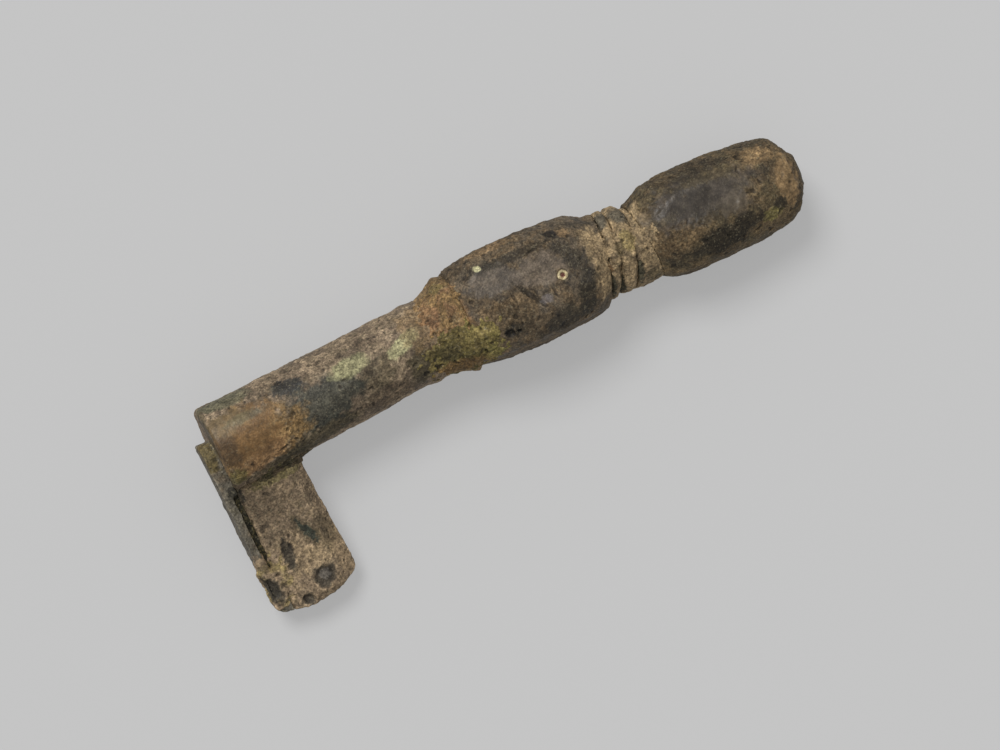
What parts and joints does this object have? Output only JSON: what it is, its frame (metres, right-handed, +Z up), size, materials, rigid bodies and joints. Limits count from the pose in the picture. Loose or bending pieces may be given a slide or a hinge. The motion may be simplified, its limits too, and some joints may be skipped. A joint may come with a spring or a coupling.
{
  "type": "ancient bronze key",
  "caption": "Ancient cast bronze lock key with a round shank, a flat rectangular bit, and a faceted baluster handle with bead mouldings and a barrel knob.",
  "frame": {"origin": "middle of the bottom of the key's box, on the table it lies on", "axes": "+X runs from the bit end of the shank to the knob, +Z is up from the table, and the bit points toward -Y"},
  "size_m": [0.0764, 0.0274, 0.0132],
  "materials": {
    "shank_bronze": "matt earthen and green patina",
    "bit_bronze": "matt sandy patina with dark pits",
    "moulding_bronze": "matt sand and orange brown patina",
    "handle_bronze": "dark semi-gloss patina with brown crust",
    "pin_iron": "rusted end with a pale rim"
  },
  "bodies": {
    "root": {"shank": "shank_bronze", "bit_block": "bit_bronze", "bit_end_plate": "bit_bronze", "grip_collar": "moulding_bronze", "baluster_grip": "handle_bronze", "grip_pin": "pin_iron", "bead_ring_1": "moulding_bronze", "bead_ring_2": "moulding_bronze", "waist_ring": "moulding_bronze", "knob_finial": "handle_bronze"}
  },
  "joints": []
}
